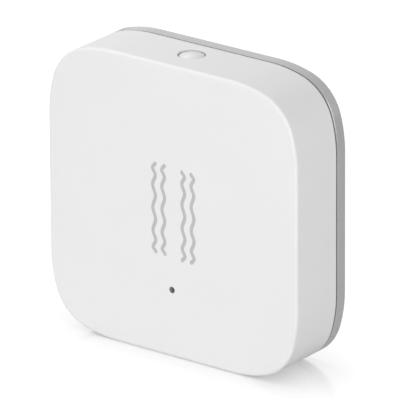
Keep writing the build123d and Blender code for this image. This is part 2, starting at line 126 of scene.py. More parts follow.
# Crosses in the screws' heads, and the plus sign and the groove in the cell's back
cross_width = 0.42 * mm
cross_reach = 0.95 * mm
cross_depth = 0.55 * mm
plus_width = 0.7 * mm
plus_reach = 2.2 * mm
plus_depth = 0.07 * mm
groove_ring_radius = 8.4 * mm
groove_radius = 0.07 * mm
weld_distance = 0.001 * mm

# Printing on the board and on the parts
chips = ("radio_chip", "motion_chip")
outlined_parts = (*chips, "crystal", "chip_antenna", "reservoir_capacitor", "switch_body")
outline_gap = 0.45 * mm
outline_width = 0.13 * mm
dot_inset = 0.75 * mm
dot_radius = 0.28 * mm
band_width = 1.2 * mm

# Metal ends, leads and solder
end_cap_length = 0.36 * mm
end_cap_proud = 0.02 * mm
lead_pitch = 0.65 * mm
lead_half_width = 0.15 * mm
lead_reach = 0.17 * mm
lead_height = 0.12 * mm
solder_reach = 0.28 * mm
solder_height = 0.30 * mm
leg_solder_share = 0.7
spring_solder_places = (-14.4 * mm, -13.6 * mm)
spring_solder_reach = 0.5 * mm

# Plated holes and test pads: places in millimetres across and up from the body's middle
via_radius = 0.30 * mm
test_pad_radius = 0.55 * mm
pad_proud = 0.04 * mm
via_places = (
    (-13.6, 16.9), (12.6, -3.2), (12.3, -4.6), (-18.2, -3.0), (-17.0, -13.4), (16.8, -11.0), (-12.0, 9.2),
    (11.4, 9.6), (1.6, -20.0), (-4.4, -17.9), (17.9, 1.0), (-11.2, 14.4), (10.9, 17.6), (-18.9, 12.8),
)
test_pad_places = ((-3.6, -15.2), (-1.8, -15.2), (0.0, -15.2), (1.8, -15.2), (3.6, -15.2))

# Copper tracks: corners in millimetres across and up from the body's middle, seen from the front
track_width = 0.32 * mm
track_proud = 0.03 * mm
track_bend = 0.25 * mm
tracks = (
    ((9.6, 12.0), (12.4, 12.0), (13.4, 11.6), (14.6, 11.6)),
    ((9.6, 13.0), (14.0, 13.0), (16.3, 12.2), (17.9, 10.4), (18.6, 8.6)),
    ((9.0, 9.9), (9.0, 9.0), (11.2, 6.8), (13.3, 3.0), (13.6, 0.0), (14.7, -1.1), (16.7, -1.1)),
    ((8.3, 9.9), (8.3, 8.9), (10.7, 6.5), (12.7, 3.0), (13.0, -1.5), (14.3, -2.8), (16.7, -2.8)),
    ((12.6, -3.2), (13.9, -4.5), (16.7, -4.5)),
    ((12.3, -4.6), (13.9, -6.2), (16.7, -6.2)),
    ((-4.2, 15.75), (-5.5, 15.75), (-6.2, 15.05)),
    ((-4.2, 17.95), (-5.0, 17.95), (-6.2, 16.5)),
    ((-9.9, 12.4), (-12.5, 12.4), (-14.6, 10.4), (-17.6, 9.9)),
    ((-8.4, 9.95), (-8.4, 9.3), (-12.0, 5.7), (-13.4, 2.0), (-13.4, 0.7)),
    ((-13.4, -3.7), (-13.4, -5.0), (-15.9, -6.9)),
    ((-15.9, -8.6), (-15.9, -9.8), (-14.2, -11.2)),
    ((-12.4, -11.2), (-12.0, -12.4), (-11.6, -13.3)),
    ((-9.9, -13.3), (-8.6, -14.2), (-7.7, -15.5)),
    ((-7.7, -17.2), (-5.9, -19.0), (4.6, -19.0), (5.7, -18.9)),
    ((6.1, -17.3), (6.8, -16.6), (7.8, -17.2)),
    ((9.5, -17.2), (10.3, -15.9)),
    ((12.1, -15.9), (13.2, -14.6), (17.8, -10.0), (18.5, -8.0), (18.5, -6.2)),
    ((5.0, 16.0), (5.0, 17.1), (4.2, 17.95), (3.5, 17.95)),
    ((3.6, 14.2), (3.0, 14.2), (1.6, 13.0), (-4.6, 13.0), (-5.6, 12.5), (-6.9, 12.5)),
    ((3.6, 13.4), (3.0, 13.4), (1.9, 12.35), (-4.9, 12.35), (-5.9, 11.8), (-6.9, 11.8)),
    ((3.6, 12.6), (3.0, 12.6), (2.2, 11.7), (-5.2, 11.7), (-6.1, 11.0), (-6.9, 11.0)),
    ((-9.0, 19.0), (-11.5, 19.0), (-13.6, 16.9)),
    ((8.6, 16.0), (8.6, 17.4), (10.8, 19.6), (12.7, 19.6), (13.3, 19.0)),
    ((-3.6, -15.2), (-3.6, -17.0), (-5.6, -19.0)),
    ((-1.8, -15.2), (-1.8, -19.0)),
    ((1.8, -15.2), (1.8, -17.2), (3.6, -19.0)),
)


def boxed(low, high):
    """A box from its two corners, with its middle and half its size."""
    return Box(low, high, (low + high) / 2, (high - low) / 2)


def box_of(node):
    low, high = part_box(node)
    return boxed(Vector(low), Vector(high))


housing = box_of("front_housing")
cover = box_of("rear_cover")
button = box_of("reset_button")
pinhole = box_of("light_guide")
cell = box_of("cell_can")
board_back_y = box_of("circuit_board").high.y
middle_z = (cad_box[0][2] + cad_box[1][2]) / 2


def islands(piece):
    """The box of each separate solid in a piece's mesh, ordered from left to right."""
    mesh = piece.data
    group = list(range(len(mesh.vertices)))

    def root(index):
        while group[index] != index:
            group[index] = group[group[index]]
            index = group[index]
        return index

    def touch(low, high, box):
        return all(
            box[0][axis] <= high[axis] + weld_distance and low[axis] <= box[1][axis] + weld_distance
            for axis in range(3)
        )

    for edge in mesh.edges:
        group[root(edge.vertices[0])] = root(edge.vertices[1])
    members = {}
    for vertex in mesh.vertices:
        members.setdefault(root(vertex.index), []).append(vertex.co)
    boxes = []
    for points in members.values():
        low = Vector([min(point[axis] for point in points) for axis in range(3)])
        high = Vector([max(point[axis] for point in points) for axis in range(3)])
        for box in boxes:
            if touch(low, high, box):
                box[0] = Vector(map(min, box[0], low))
                box[1] = Vector(map(max, box[1], high))
                break
        else:
            boxes.append([low, high])
    boxes.sort(key=lambda box: (box[0].x, box[0].z))
    return [boxed(low, high) for low, high in boxes]


def new_object(name, data):
    """A new object in the scene."""
    thing = bpy.data.objects.new(name, data)
    bpy.context.scene.collection.objects.link(thing)
    return thing


def plain_mesh(carrier):
    """The mesh that an object's modifiers make."""
    graph = bpy.context.evaluated_depsgraph_get()
    return bpy.data.meshes.new_from_object(carrier.evaluated_get(graph), depsgraph=graph)


class Signal:
    """A socket that can be used in a sum."""

    def __init__(self, owner, socket):
        self.owner = owner
        self.socket = socket

    def __add__(self, other):
        return self.owner.math("ADD", self, other)

    __radd__ = __add__

    def __sub__(self, other):
        return self.owner.math("SUBTRACT", self, other)

    def __rsub__(self, other):
        return self.owner.math("SUBTRACT", other, self)

    def __mul__(self, other):
        return self.owner.math("MULTIPLY", self, other)

    __rmul__ = __mul__

    def __truediv__(self, other):
        return self.owner.math("DIVIDE", self, other)

    def __rtruediv__(self, other):
        return self.owner.math("DIVIDE", other, self)

    def __lt__(self, other):
        return self.owner.math("LESS_THAN", self, other)

    def __gt__(self, other):
        return self.owner.math("GREATER_THAN", self, other)


class Nodes:
    """A node tree that is written as calls and sums."""

    def __init__(self, tree):
        self.tree = tree

    def node(self, kind, settings=(), **values):
        """Add a node, set it, then fill its sockets, each by its name or, as in s0, by its number.

        Returns the node's outputs as signals, by name.
        """
        node = self.tree.nodes.new(kind)
        for name, setting in dict(settings).items():
            setattr(node, name, setting)
        for name, value in values.items():
            socket = node.inputs[int(name[1:]) if name[1:].isdigit() else name.replace("_", " ")]
            if isinstance(value, Signal):
                self.tree.links.new(value.socket, socket)
            else:
                socket.default_value = value
        return {socket.name: Signal(self, socket) for socket in node.outputs if socket.enabled}

    def math(self, operation, first, second=0.0):
        return self.node("ShaderNodeMath", {"operation": operation}, s0=first, s1=second)["Value"]


class Finish(Nodes):
    """A material, with the patterns and masks that the finishes share."""

    def __init__(self, name):
        self.material = bpy.data.materials.new(name)
        self.material.use_nodes = True
        super().__init__(self.material.node_tree)
        self.tree.nodes.clear()
        self.place = self.node("ShaderNodeTexCoord")["Object"]

    def axes(self):
        """The place's X, Y and Z."""
        parts = self.node("ShaderNodeSeparateXYZ", Vector=self.place)
        return parts["X"], parts["Y"], parts["Z"]

    def reach(self, first, second):
        """Length of two sides at right angles."""
        return self.math("SQRT", first * first + second * second)

    def off(self, first, second):
        """How far one value is from another."""
        return self.math("ABSOLUTE", first - second)

    def cross(self, middle, reach, width):
        """1 on an upright cross around a place, seen from behind, 0 elsewhere."""
        x, _, z = self.axes()
        across, up = self.off(x, middle.x), self.off(z, middle.z)
        wide, narrow = self.math("MAXIMUM", across, up), self.math("MINIMUM", across, up)
        return (narrow < width / 2) * (wide < reach)

    def noise(self, size, detail=2.0, stretch=(1, 1, 1)):
        """Soft noise from 0 to 1, with features about as large as size."""
        place = self.node("ShaderNodeMapping", Vector=self.place, Scale=stretch)["Vector"]
        return self.node("ShaderNodeTexNoise", Vector=place, Scale=1 / size, Detail=detail)["Fac"]

    def cells(self, size):
        """Distance to the nearest cell's middle, in cells."""
        return self.node("ShaderNodeTexVoronoi", Vector=self.place, Scale=1 / size)["Distance"]

    def mix(self, factor, first, second):
        """One colour where the factor is 0 and another where it is 1."""
        return self.node("ShaderNodeMix", {"data_type": "RGBA"}, s0=factor, s6=first, s7=second)["Result"]

    def tones(self, pattern, colour, dark, light):
        """A dark to a light tone of a colour as the pattern goes from 0 to 1."""
        return self.mix(pattern, shade(colour, dark), shade(colour, light))

    def bump(self, height, depth):
        """Shading of a relief that is as deep as depth where the height goes from 0 to 1."""
        return self.node("ShaderNodeBump", Height=height, Distance=depth)["Normal"]

    def surface(self, **values):
        """End the material in a shader with these values."""
        shader = self.node("ShaderNodeBsdfPrincipled", **values)["BSDF"]
        self.node("ShaderNodeOutputMaterial", Surface=shader)
        return self.material


class Tree(Nodes):
    """A Geometry Nodes tree with named inputs."""

    def __init__(self, name, **inputs):
        super().__init__(bpy.data.node_groups.new(name, "GeometryNodeTree"))
        interface = self.tree.interface
        interface.new_socket(name="Geometry", in_out="INPUT", socket_type="NodeSocketGeometry")
        self.sockets = {}
        for label, value in inputs.items():
            kind = "NodeSocketVector" if isinstance(value, tuple) else "NodeSocketFloat"
            socket = interface.new_socket(name=label.replace("_", " "), in_out="INPUT", socket_type=kind)
            socket.default_value = value
            self.sockets[label] = socket.identifier
        interface.new_socket(name="Geometry", in_out="OUTPUT", socket_type="NodeSocketGeometry")
        self.given = self.node("NodeGroupInput")

    def circle(self, resolution, radius):
        return self.node("GeometryNodeCurvePrimitiveCircle", Resolution=resolution, Radius=radius)["Curve"]

    def moved(self, geometry, **values):
        return self.node("GeometryNodeTransform", Geometry=geometry, **values)["Geometry"]

    def join(self, *parts):
        joined = self.tree.nodes.new("GeometryNodeJoinGeometry")
        for part in parts:
            self.tree.links.new(part.socket, joined.inputs[0])
        return Signal(self, joined.outputs[0])

    def end(self, geometry, material):
        """Realize the instances, give the material and send the geometry out."""
        real = self.node("GeometryNodeRealizeInstances", Geometry=geometry)["Geometry"]
        painted = self.node("GeometryNodeSetMaterial", Geometry=real, Material=material)["Geometry"]
        self.node("NodeGroupOutput", Geometry=painted)

    def grow(self, name, points=(), edges=(), sizes=(), **values):
        """Run the tree on these points, with these inputs, and return a plain mesh object.

        Sizes, one for each point, reach the input named Size as an attribute of the points.
        """
        base = bpy.data.meshes.new(name + "_base")
        base.from_pydata(points, edges, [])
        carrier = new_object(name + "_carrier", base)
        modifier = carrier.modifiers.new(name, "NODES")
        modifier.node_group = self.tree
        for label, value in values.items():
            modifier[self.sockets[label]] = value
        if sizes:
            stored = base.attributes.new("size", "FLOAT_VECTOR", "POINT")
            for place, size in zip(stored.data, sizes):
                place.vector = size
            modifier[self.sockets["Size"] + "_use_attribute"] = True
            modifier[self.sockets["Size"] + "_attribute_name"] = "size"
        mesh = plain_mesh(carrier)
        mesh.name = name
        carrier.modifiers.remove(modifier)
        bpy.data.objects.remove(carrier)
        return new_object(name, mesh)


def grey(level):
    return (level, level, level, 1)


def shade(colour, factor):
    return tuple(min(1.0, part * factor) for part in colour[:3]) + (1,)


def moulded(
    name, colour, roughness, grain=0.16 * mm, grain_depth=0.002 * mm, painted_shade_mask=None, painted_shade_tone=0.45,
    **extra,
):
    """Moulded plastic: an even colour with faint clouds, a fine satin grain and painted shade in the
    recesses that a mask gives.
    """
    finish = Finish(name)
    clouds = finish.noise(size=9 * mm, detail=3.0)
    speck = finish.noise(size=grain)
    body = finish.tones(clouds, colour, dark=0.985, light=1.015)
    # Painted shade: the colour darkens to the shade tone where the mask is 1
    if painted_shade_mask:
        body = finish.mix(painted_shade_mask(finish), body, shade(colour, painted_shade_tone))
    return finish.surface(
        Base_Color=body,
        Roughness=roughness + (speck - 0.5) * 0.10,
        Normal=finish.bump(speck, depth=grain_depth),
        **extra,
    )


def housing_painted_shade(finish):
    """Painted shade: 1 in the pinhole, a share of that in the narrow ring around the button, 0 elsewhere.
    """
    x, y, z = finish.axes()
    ring = finish.reach(x - button.middle.x, y - button.middle.y)
    gap = (ring > button_gap_inner) * (ring < button_gap_radius) * (z > middle_z)
    hole = finish.reach(x - pinhole.middle.x, z - pinhole.middle.z) < pinhole_radius
    return gap * button_gap_shade_share + hole


def cover_seam_painted_shade(finish):
    """Painted shade along the seam: 1 on the lip between the cover's rim and its tongue, 0 elsewhere."""
    y = finish.axes()[1]
    return (y < housing.low.y + cover_rim_depth) * (y > housing.low.y + cover_lip_depth)


def crowned_cap(name, dark, light):
    """The button's moulding, its crown shaded as fuller than its low dome."""
    finish = Finish(name)
    x, y, _ = finish.axes()
    across, along = x - button.middle.x, y - button.middle.y
    # The crown's height is in metres, so the bump adds it as it is, at a depth of 1
    crown_height = (across * across + along * along) * (-0.5 / button_crown_radius)
    speck = finish.noise(size=0.16 * mm)
    return finish.surface(
        Base_Color=finish.mix(speck, dark, light),
        Roughness=0.42 + speck * 0.08,
        Normal=finish.bump(crown_height, depth=1.0),
    )


def metal(name, colour, roughness):
    """Rolled or plated metal with fine drawn lines and a few dull patches."""
    finish = Finish(name)
    lines = finish.noise(size=0.5 * mm, detail=4.0, stretch=(1, 1, 12))
    patches = finish.noise(size=2.5 * mm)
    return finish.surface(
        Base_Color=finish.tones(patches, colour, dark=0.9, light=1.05),
        Metallic=1.0,
        Roughness=roughness + (lines - 0.5) * 0.25,
        Normal=finish.bump(lines, depth=0.003 * mm),
    )


def driven(name, colour):
    """Plated screws, dull and with painted shade in the cross recess of each head."""
    finish = Finish(name)
    cross = 0.0
    for screw in islands(nodes["board_screws"]):
        cross = cross + finish.cross(screw.middle, cross_reach, cross_width)
    scratches = finish.noise(size=0.4 * mm, detail=3.0, stretch=(6, 1, 1))
    return finish.surface(
        # Painted shade: the cross recess is drawn darker
        Base_Color=finish.mix(cross, colour, shade(colour, 0.35)),
        Metallic=1.0 - cross * 0.3,
        Roughness=0.28 + scratches * 0.15,
        Normal=finish.bump(scratches, depth=0.003 * mm),
    )


def cell_metal(name, colour):
    """The cell's turned steel, rougher and with painted shade in the plus sign and the groove of its back.
    """
    finish = Finish(name)
    x, _, z = finish.axes()
    away = finish.reach(x - cell.middle.x, z - cell.middle.z)
    plus = finish.cross(cell.middle, plus_reach, plus_width)
    marks = plus + (finish.off(away, groove_ring_radius) < groove_radius)
    turned = finish.noise(size=0.5 * mm, detail=4.0, stretch=(1, 1, 9))
    return finish.surface(
        # Painted shade: the plus sign and the groove are drawn darker
        Base_Color=finish.mix(marks, colour, shade(colour, 0.55)),
        Metallic=1.0,
        Roughness=0.24 + turned * 0.16 + marks * 0.15,
        Normal=finish.bump(turned, depth=0.0025 * mm),
    )


def spotted(name, colour):
    """Chip resin with a small printed dot that marks the first leg."""
    finish = Finish(name)
    x, _, z = finish.axes()
    dots = 0.0
    for chip in chips:
        corner = box_of(chip).high
        dots = dots + (finish.reach(x - (corner.x - dot_inset), z - (corner.z - dot_inset)) < dot_radius)
    grain = finish.noise(size=0.09 * mm)
    return finish.surface(
        Base_Color=finish.mix(dots, colour, shade(colour, 3.2)),
        Roughness=0.50 + grain * 0.12 - dots * 0.25,
        Normal=finish.bump(grain, depth=0.004 * mm),
    )


def banded(name, colour):
    """Moulded block with a printed band at the end that takes the positive side."""
    finish = Finish(name)
    z = finish.axes()[2]
    band = z > box_of("reservoir_capacitor").high.z - band_width
    clouds = finish.noise(size=1.5 * mm)
    grain = finish.noise(size=0.12 * mm)
    body = finish.tones(clouds, colour, dark=0.92, light=1.08)
    return finish.surface(
        Base_Color=finish.mix(band, body, shade(colour, 0.22)),
        Roughness=0.40 + grain * 0.12,
        Normal=finish.bump(grain, depth=0.004 * mm),
    )


def laminate(name, dark, light, ink):
    """Board: resist over a faint glass weave, with a printed outline round each larger part."""
    finish = Finish(name)
    weave = finish.noise(size=0.3 * mm)
    clouds = finish.noise(size=5 * mm)
    x, _, z = finish.axes()
    printed = 0.0
    for part in outlined_parts:
        box = box_of(part)
        across, up = finish.off(x, box.middle.x) - box.half.x, finish.off(z, box.middle.z) - box.half.z
        away = finish.math("MAXIMUM", across, up)
        printed = printed + (finish.off(away, outline_gap) < outline_width / 2)
    resist = finish.mix(clouds, dark, light)
    return finish.surface(
        Base_Color=finish.mix(printed, resist, ink),
        Roughness=0.30 + weave * 0.14 + printed * 0.3,
        Normal=finish.bump(weave + printed, depth=0.012 * mm),
        Coat_Weight=0.3,
    )


def foamed(name, colour, cell_size, depth):
    """Closed-cell foam: small round pits of uneven size, with painted shade in the pits over an uneven
    tone.
    """
    finish = Finish(name)
    pits = finish.cells(cell_size)
    tone = finish.noise(size=4 * mm)
    return finish.surface(
        # Painted shade: darker towards each pit's middle, mixed with an uneven tone
        Base_Color=finish.tones(pits * 0.6 + tone * 0.4, colour, dark=0.86, light=1.06),
        Roughness=0.86,
        Normal=finish.bump(pits, depth=depth),
    )


def taped(name, colour):
    """The pad's paper liner over its foam: matt fibres, and a slit across that it is peeled from, drawn
    with a bump and a painted shade line.
    """
    finish = Finish(name)
    x, _, z = finish.axes()
    fibre = finish.noise(size=0.25 * mm, detail=4.0)
    tone = finish.noise(size=5 * mm)
    bend = finish.math("SINE", x * (2 * pi / slit_wave)) * slit_swing
    slit = finish.off(z - middle_z, bend) < slit_width / 2
    paper = finish.tones(tone * 0.5 + fibre * 0.5, colour, dark=0.93, light=1.05)
    return finish.surface(
        # Painted shade: the slit is drawn darker
        Base_Color=finish.mix(slit, paper, shade(colour, 0.5)),
        Roughness=0.80 + fibre * 0.1,
        Normal=finish.bump(fibre * 0.25 - slit, depth=0.05 * mm),
    )


def clear(name, colour, roughness):
    """Smoky clear moulding with a few flow lines."""
    finish = Finish(name)
    flow = finish.noise(size=0.6 * mm, stretch=(1, 4, 1))
    return finish.surface(
        Base_Color=finish.tones(flow, colour, dark=0.8, light=1.2),
        Roughness=roughness + flow * 0.08,
        Transmission_Weight=0.5,
        IOR=1.49,
    )


# One finish for each kind of piece
white_plastic = moulded("white_satin_moulding", grey(0.86), roughness=0.47, painted_shade_mask=housing_painted_shade)
grey_plastic = moulded(
    "grey_satin_moulding", grey(0.455), roughness=0.26, painted_shade_mask=cover_seam_painted_shade, painted_shade_tone=0.6,
    Coat_Weight=0.8, Coat_Roughness=0.2,
)
cap_plastic = crowned_cap("white_cap_moulding", dark=grey(0.84), light=grey(0.88))
black_plastic = moulded("black_moulding", grey(0.028), roughness=0.45, grain_depth=0.004 * mm)
chip_resin = spotted("chip_resin", grey(0.022))
resistor_coat = moulded(
    "resistor_coat", grey(0.02), roughness=0.4, grain=0.09 * mm, grain_depth=0.004 * mm
)
ceramic_body = moulded("fired_ceramic", (0.55, 0.47, 0.33, 1), roughness=0.6)
block_resin = banded("amber_block_resin", (0.60, 0.33, 0.05, 1))
plunger_plastic = moulded("amber_moulding", (0.60, 0.36, 0.07, 1), roughness=0.4)
lamp_resin = moulded("lamp_resin", (0.75, 0.62, 0.18, 1), roughness=0.25)
seal_rubber = moulded("seal_ring", grey(0.02), roughness=0.7)
mark_ink = moulded("grey_ink", grey(0.53), roughness=0.5, grain=0.08 * mm)
track_resist = moulded("resist_over_copper", (0.022, 0.17, 0.065, 1), roughness=0.3, Coat_Weight=0.3)
board_resist = laminate(
    "green_resist", dark=(0.010, 0.075, 0.030, 1), light=(0.016, 0.110, 0.045, 1), ink=grey(0.62)
)
cell_steel = cell_metal("cell_steel", grey(0.62))
spring_steel = metal("nickel_strip", (0.66, 0.62, 0.52, 1), roughness=0.25)
tinned = metal("tinned_metal", grey(0.66), roughness=0.34)
gold_plate = metal("gold_plate", (0.83, 0.62, 0.28, 1), roughness=0.3)
screw_steel = driven("zinc_screw", (0.58, 0.57, 0.55, 1))
liner_paper = taped("liner_paper", grey(0.68))
dark_foam = foamed("dark_foam", grey(0.035), cell_size=0.3 * mm, depth=0.08 * mm)
guide_clear = clear("smoky_guide", grey(0.03), roughness=0.3)

finishes = {
    "front_housing": white_plastic,
    "reset_button": cap_plastic,
    "rear_cover": grey_plastic,
    "adhesive_pad": liner_paper,
    "foam_pad": dark_foam,
    "circuit_board": board_resist,
    "board_screws": screw_steel,
    "switch_body": black_plastic,
    "switch_plunger": plunger_plastic,
    "switch_terminals": tinned,
    "light_guide": guide_clear,
    "indicator_led": lamp_resin,
    "battery_holder": black_plastic,
    "positive_contact": spring_steel,
    "negative_contact": spring_steel,
    "cell_can": cell_steel,
    "cell_cap": cell_steel,
    "cell_gasket": seal_rubber,
    "radio_chip": chip_resin,
    "motion_chip": chip_resin,
    "crystal": tinned,
    "chip_antenna": ceramic_body,
    "reservoir_capacitor": block_resin,
    "resistors": resistor_coat,
    "capacitors": ceramic_body,
}
for name, material in finishes.items():
    for place in nodes[name].material_slots:
        place.material = material


def wave_tree():
    """A pair of upright wavy strokes whose waves close up towards both ends, laid flat on a face."""
    tree = Tree(
        "wave_strokes",
        Height=mark_height,
        Swing=mark_swing,
        Stroke=mark_stroke,
        Flatness=mark_print / mark_stroke,
        Pair_Gap=mark_pair_gap,
        Place=(0, 0, 0),
    )
    line = tree.node("GeometryNodeCurvePrimitiveLine", Start=(0, 0, 0), End=(0, 0, 1))["Curve"]
    line = tree.node("GeometryNodeResampleCurve", Curve=line, Count=181)["Curve"]
    factor = tree.node("GeometryNodeSplineParameter")["Factor"]
    angle = (factor - 0.5) * (2 * mark_reach)
    up = tree.math("SINE", angle) * tree.given["Height"]
    across = tree.math("COSINE", angle * mark_turns) * tree.given["Swing"]
    place = tree.node("ShaderNodeCombineXYZ", X=across, Z=up)["Vector"]
    line = tree.node("GeometryNodeSetPosition", Geometry=line, Position=place)["Geometry"]
    radius = tree.given["Stroke"] * 0.5
    ring = tree.circle(resolution=16, radius=radius)
    tube = tree.node("GeometryNodeCurveToMesh", Curve=line, Profile_Curve=ring)["Mesh"]
    ends = tree.node("GeometryNodeCurveEndpointSelection")["Selection"]
    ball = tree.node("GeometryNodeMeshUVSphere", Segments=20, Rings=12, Radius=radius)["Mesh"]
    caps = tree.node(
        "GeometryNodeInstanceOnPoints", Points=line, Selection=ends, Instance=ball
    )["Instances"]
    stroke = tree.join(tube, caps)
    sides = []
    for sign in (-1, 1):
        step = tree.node("ShaderNodeCombineXYZ", X=tree.given["Pair Gap"] * (sign / 2))["Vector"]
        sides.append(tree.moved(stroke, Translation=step))
    pair = tree.node("GeometryNodeRealizeInstances", Geometry=tree.join(*sides))["Geometry"]
    flat = tree.node("ShaderNodeCombineXYZ", X=1.0, Y=tree.given["Flatness"], Z=1.0)["Vector"]
    tree.end(tree.moved(pair, Translation=tree.given["Place"], Scale=flat), mark_ink)
    return tree


def add_wave_marks():
    tree = wave_tree()
    for name, (across, up), swing in (
        ("wave_marks_left", left_pair_place, -mark_swing),
        ("wave_marks_right", right_pair_place, mark_swing),
    ):
        place = Vector((across + mark_pair_gap / 2, housing.low.y, housing.middle.z + up))
        marks = tree.grow(name, Place=place, Swing=swing)
        marks.data.shade_smooth()
        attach(marks, "housing")


def add_board_tracks():
    """Flat copper strips that follow their paths over the back of the board."""
    tree = Tree("track_strips", Width=track_width, Proud=track_proud, Bend=track_bend, Place=(0, 0, 0))
    path = tree.node("GeometryNodeMeshToCurve", Mesh=tree.given["Geometry"])["Curve"]
    path = tree.node("GeometryNodeFilletCurve", Curve=path, Radius=tree.given["Bend"])["Curve"]
    path = tree.node("GeometryNodeSetCurveNormal", {"mode": "Z_UP"}, Curve=path)["Curve"]
    width = tree.given["Width"]
    unit_wide = tree.circle(resolution=8, radius=0.5)
    tube = tree.node(
        "GeometryNodeCurveToMesh", Curve=path, Profile_Curve=unit_wide, Scale=width, Fill_Caps=True
    )["Mesh"]
    flatness = tree.given["Proud"] / width * 2.0
    flat = tree.node("ShaderNodeCombineXYZ", X=1.0, Y=flatness, Z=1.0)["Vector"]
    tree.end(tree.moved(tube, Translation=tree.given["Place"], Scale=flat), track_resist)
    points, edges = [], []
    for track in tracks:
        first = len(points)
        points += [(across * mm, 0, middle_z + up * mm) for across, up in track]
        edges += [(index, index + 1) for index in range(first, len(points) - 1)]
    strips = tree.grow("board_tracks", points, edges, Place=Vector((0, board_back_y, 0)))
    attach(strips, "housing")


def disc(tree):
    """A round pad that lies in the board's plane, 1 in radius."""
    drum = tree.node("GeometryNodeMeshCylinder", Vertices=24, Radius=1.0, Depth=2.0)["Mesh"]
    return tree.moved(drum, Rotation=(pi / 2, 0, 0))


def block(tree):
    """A cube that reaches 1 from its middle."""
    return tree.node("GeometryNodeMeshCube", Size=(2, 2, 2))["Mesh"]


def bead(tree):
    """A ball of radius 1."""
    return tree.node("GeometryNodeMeshUVSphere", Segments=16, Rings=10, Radius=1.0)["Mesh"]


def stamped(name, shape, material, stamps):
    """One piece with a small shape at each place, scaled by the size that is listed with the place."""
    tree = Tree(name + "_stamps", Size=(1, 1, 1))
    points, size = tree.given["Geometry"], tree.given["Size"]
    shapes = tree.node(
        "GeometryNodeInstanceOnPoints", Points=points, Instance=shape(tree), Scale=size
    )["Instances"]
    tree.end(shapes, material)
    places, sizes = zip(*stamps)
    return tree.grow(name, places, sizes=sizes)


def add_pads_and_vias():
    stamps = []
    for places, radius in ((via_places, via_radius), (test_pad_places, test_pad_radius)):
        for across, up in places:
            stamps.append(((across * mm, board_back_y, middle_z + up * mm), (radius, pad_proud, radius)))
    pads = stamped("pads_and_vias", disc, gold_plate, stamps)
    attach(pads, "housing")


def passive_ends():
    """The tinned ends of the resistors and capacitors, and the solder at them."""
    ends, joints = [], []
    for name in ("resistors", "capacitors"):
        for box in islands(nodes[name]):
            long_axis = 0 if box.half.x > box.half.z else 2
            for side in (-1, 1):
                end = box.middle.copy()
                end[long_axis] += side * (box.half[long_axis] - end_cap_length / 2 + end_cap_proud)
                size = box.half + Vector((end_cap_proud,) * 3)
                size[long_axis] = end_cap_length / 2
                ends.append((end, size))
                joint = box.middle.copy()
                joint[long_axis] += side * box.half[long_axis]
                joint.y = board_back_y
                size = Vector((box.half.x, solder_height, box.half.z))
                size[long_axis] = solder_reach
                joints.append((joint, size))
    return ends, joints


def leg_solder():
    """The solder at the switch's legs and at the foot of the positive spring."""
    joints = []
    for leg in islands(nodes["switch_terminals"]):
        outer = leg.low.x if leg.middle.x < button.middle.x else leg.high.x
        size = (solder_reach, solder_height / 2, 2 * leg.half.z * leg_solder_share)
        joints.append(((outer, board_back_y, leg.middle.z), size))
    foot_z = box_of("positive_contact").low.z
    for across in spring_solder_places:
        joints.append(((across, board_back_y, foot_z), (spring_solder_reach, solder_height, solder_reach)))
    return joints


def chip_leads():
    """The leads that stand out at the four sides of each chip."""
    leads = []
    for name in chips:
        chip = box_of(name)
        for along, out in ((0, 2), (2, 0)):
            count = int(2 * chip.half[along] / lead_pitch) - 1
            for index in range(count):
                for side in (-1, 1):
                    lead = Vector((0, board_back_y, 0))
                    lead[along] = chip.middle[along] + (index - (count - 1) / 2) * lead_pitch
                    lead[out] = chip.middle[out] + side * chip.half[out]
                    size = Vector((lead_half_width, lead_height, lead_half_width))
                    size[out] = lead_reach
                    leads.append((lead, size))
    return leads


def add_part_ends():
    ends, joints = passive_ends()
    tinned_ends = stamped("part_ends", block, tinned, ends + chip_leads())
    solder = stamped("solder_joints", bead, tinned, joints + leg_solder())
    solder.data.shade_smooth()
    for piece in (tinned_ends, solder):
        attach(piece, "housing")


def groove_cutter(middle):
    """Cutter for the turned groove in the cell's back."""
    tree = Tree(
        "groove_ring", Ring_Radius=groove_ring_radius, Groove_Radius=groove_radius, Place=(0, 0, 0)
    )
    path = tree.circle(resolution=96, radius=tree.given["Ring Radius"])
    section = tree.circle(resolution=8, radius=tree.given["Groove Radius"])
    hoop = tree.node("GeometryNodeCurveToMesh", Curve=path, Profile_Curve=section)["Mesh"]
    tree.end(tree.moved(hoop, Rotation=(pi / 2, 0, 0), Translation=tree.given["Place"]), cell_steel)
    return tree.grow("groove_ring_cutter", Place=middle)


def cross_cutters(name, material, middles, reach, width, depth):
    """Cutters for a cross at each place: one for the arms across, one for the arms up."""
    arms = {"across": (reach, depth, width / 2), "up": (width / 2, depth, reach)}
    return [
        stamped(f"{name}_{way}", block, material, [(middle, arm) for middle in middles])
        for way, arm in arms.items()
    ]


def cut_into(node, cutters):
    """Replace a node by its copy with the cutters' shapes taken out."""
    merged = bmesh.new()
    merged.from_mesh(nodes[node].data)
    bmesh.ops.remove_doubles(merged, verts=merged.verts, dist=weld_distance)
    mesh = nodes[node].data.copy()
    merged.to_mesh(mesh)
    merged.free()
    piece = new_object(node + "_cut", mesh)
    for cutter in cutters:
        cut = piece.modifiers.new(cutter.name, "BOOLEAN")
        cut.operation = "DIFFERENCE"
        cut.solver = "EXACT"
        cut.object = cutter
    finished = plain_mesh(piece)
    piece.modifiers.clear()
    piece.data = finished
    for cutter in cutters:
        bpy.data.objects.remove(cutter)
    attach(piece, "housing")
    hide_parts(node)


